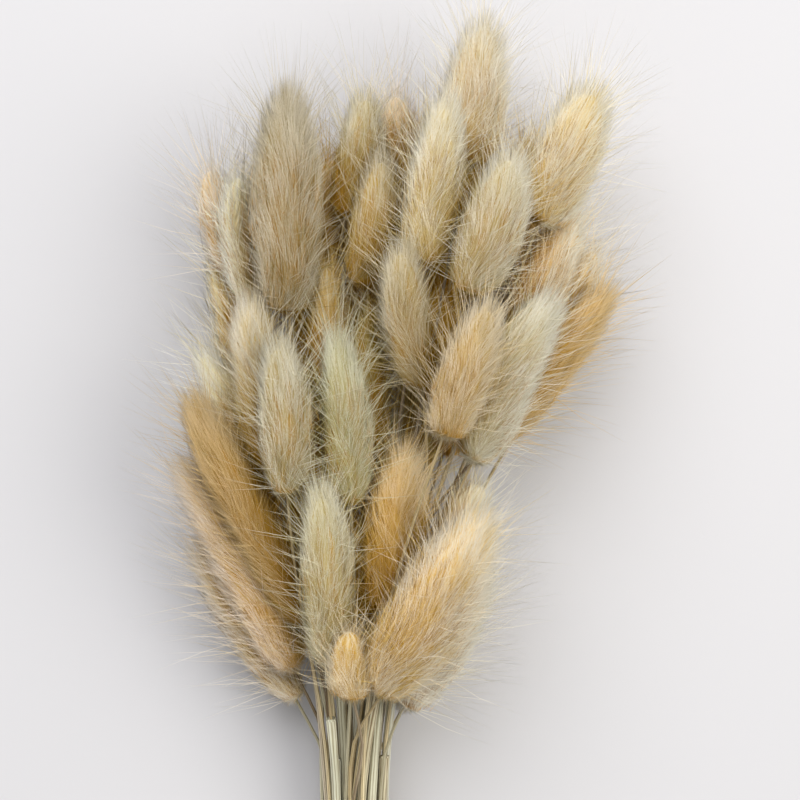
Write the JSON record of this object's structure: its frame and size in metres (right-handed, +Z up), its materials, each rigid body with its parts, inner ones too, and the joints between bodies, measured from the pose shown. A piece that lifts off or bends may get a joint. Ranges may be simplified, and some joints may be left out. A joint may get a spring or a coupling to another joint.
{
  "type": "dried bunny tail grass bunch",
  "caption": "Bunch of dried bunny tail grass lying on its side: soft oval tufted heads on thin straw stems, tied with twine.",
  "frame": {"origin": "middle of the bunch's length and width, on the surface that it lies on", "axes": "+Y along the stems towards the heads, +X to the right seen from above with the heads up the page, +Z up off the surface"},
  "size_m": [0.1212, 0.3996, 0.0614],
  "materials": {
    "cream_head": "matte",
    "pale_head": "matte",
    "green_head": "matte",
    "peach_head": "matte",
    "gold_head": "matte",
    "tan_head": "matte",
    "culm": "matte",
    "twine": "matte"
  },
  "bodies": {
    "root": {"stalk_01": "peach_head", "stalk_02": "gold_head", "stalk_03": "cream_head", "stalk_04": "peach_head", "stalk_05": "peach_head", "stalk_06": "cream_head", "stalk_07": "cream_head", "stalk_08": "green_head", "stalk_09": "gold_head", "stalk_10": "pale_head", "stalk_11": "tan_head", "stalk_12": "cream_head", "stalk_13": "cream_head", "stalk_14": "cream_head", "stalk_15": "tan_head", "stalk_16": "pale_head", "stalk_17": "gold_head", "stalk_18": "green_head", "stalk_19": "tan_head", "stalk_20": "tan_head", "stalk_21": "cream_head", "stalk_22": "tan_head", "stalk_23": "tan_head", "stalk_24": "gold_head", "stalk_25": "green_head", "stalk_26": "gold_head", "stalk_27": "cream_head", "stalk_28": "pale_head", "stalk_29": "peach_head", "stalk_30": "green_head", "stalk_31": "peach_head", "stalk_32": "tan_head", "stalk_33": "tan_head", "stalk_34": "tan_head", "stalk_35": "gold_head", "stalk_36": "green_head", "stalk_37": "tan_head", "stalk_38": "gold_head", "stalk_39": "cream_head", "stalk_40": "cream_head", "stalk_41": "tan_head", "stalk_42": "peach_head", "stalk_43": "cream_head", "stalk_44": "green_head", "stalk_45": "peach_head", "stalk_46": "cream_head", "stalk_47": "gold_head", "stalk_48": "tan_head", "stalk_49": "gold_head", "stalk_50": "tan_head", "stalk_51": "gold_head", "stalk_52": "cream_head", "tie": "twine"}
  },
  "joints": []
}
